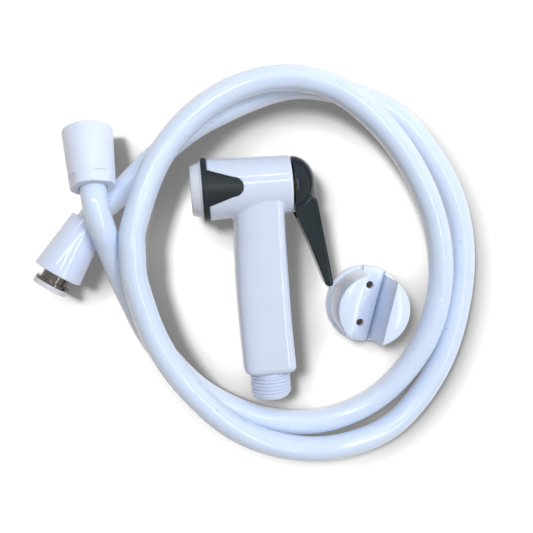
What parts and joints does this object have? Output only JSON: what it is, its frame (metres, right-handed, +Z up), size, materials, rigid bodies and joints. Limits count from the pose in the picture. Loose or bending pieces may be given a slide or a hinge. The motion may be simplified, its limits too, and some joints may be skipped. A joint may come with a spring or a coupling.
{
  "type": "handheld_bidet_shower_kit",
  "caption": "Handheld bidet shower kit as laid out on a table: white trigger handset with dark trim and rear lever, 1.2 m white hose with two end nuts, and round wall holder.",
  "frame": {"origin": "on the table, under the middle of the handset and the wall holder taken together", "axes": "+X along the head from the spray face to the lever, +Y up the handle from its inlet to the head, +Z up from the table through the side of the handset"},
  "size_m": [0.2302, 0.2062, 0.0326],
  "materials": {
    "white_plastic": "gloss",
    "dark_plastic": "gloss",
    "hose_plastic": "gloss",
    "satin_plastic": "satin",
    "brass": "machined",
    "steel": "drawn",
    "chrome": "polished",
    "rubber": "moulded",
    "washer_rubber": "moulded"
  },
  "bodies": {
    "kit": {"handset_body": "white_plastic", "trim_ring": "dark_plastic", "front_cap": "white_plastic", "spray_plate": "white_plastic", "face_washer": "rubber", "valve_seat": "satin_plastic", "valve_spring": "steel", "stem_seal": "rubber", "gland_nut": "brass", "hose": "hose_plastic", "tap_insert": "chrome", "tap_ferrule": "chrome", "tap_washer": "rubber", "cone_insert": "chrome", "cone_ferrule": "chrome", "cone_washer": "washer_rubber", "wall_holder": "white_plastic"},
    "lever_body": {"lever": "dark_plastic", "lever_pin": "steel"},
    "stem_body": {"valve_stem": "brass", "valve_disc": "rubber", "stem_nut": "brass"},
    "tap_nut_body": {"tap_nut": "satin_plastic"},
    "cone_nut_body": {"cone_nut": "white_plastic"}
  },
  "joints": [
    {"name": "lever_hinge", "type": "hinge", "parent": "kit", "child": "lever_body", "pos_m": [-0.0003, 0.03613, 0.01558], "axis": [0, 0.0378, -0.9993], "range_deg": [0, 11], "stiffness_Nm_per_rad": 0.3, "springref_deg": -5.73},
    {"name": "stem_slide", "type": "slide", "parent": "kit", "child": "stem_body", "axis": [1, 0, 0], "range_m": [0, 0.0021], "deforming": ["valve_spring"]},
    {"name": "tap_nut_turn", "type": "hinge", "parent": "kit", "child": "tap_nut_body", "pos_m": [-0.10229, 0.06673, 0.01688], "axis": [-0.0541, 0.9381, -0.342], "continuous": true},
    {"name": "cone_nut_turn", "type": "hinge", "parent": "kit", "child": "cone_nut_body", "pos_m": [-0.11595, 0.02272, 0.01081], "axis": [-0.5702, -0.8144, 0.1078], "continuous": true}
  ],
  "couplings": [
    {"joint": "lever_hinge", "follows": "stem_slide", "rad_per_m": 90.909}
  ]
}
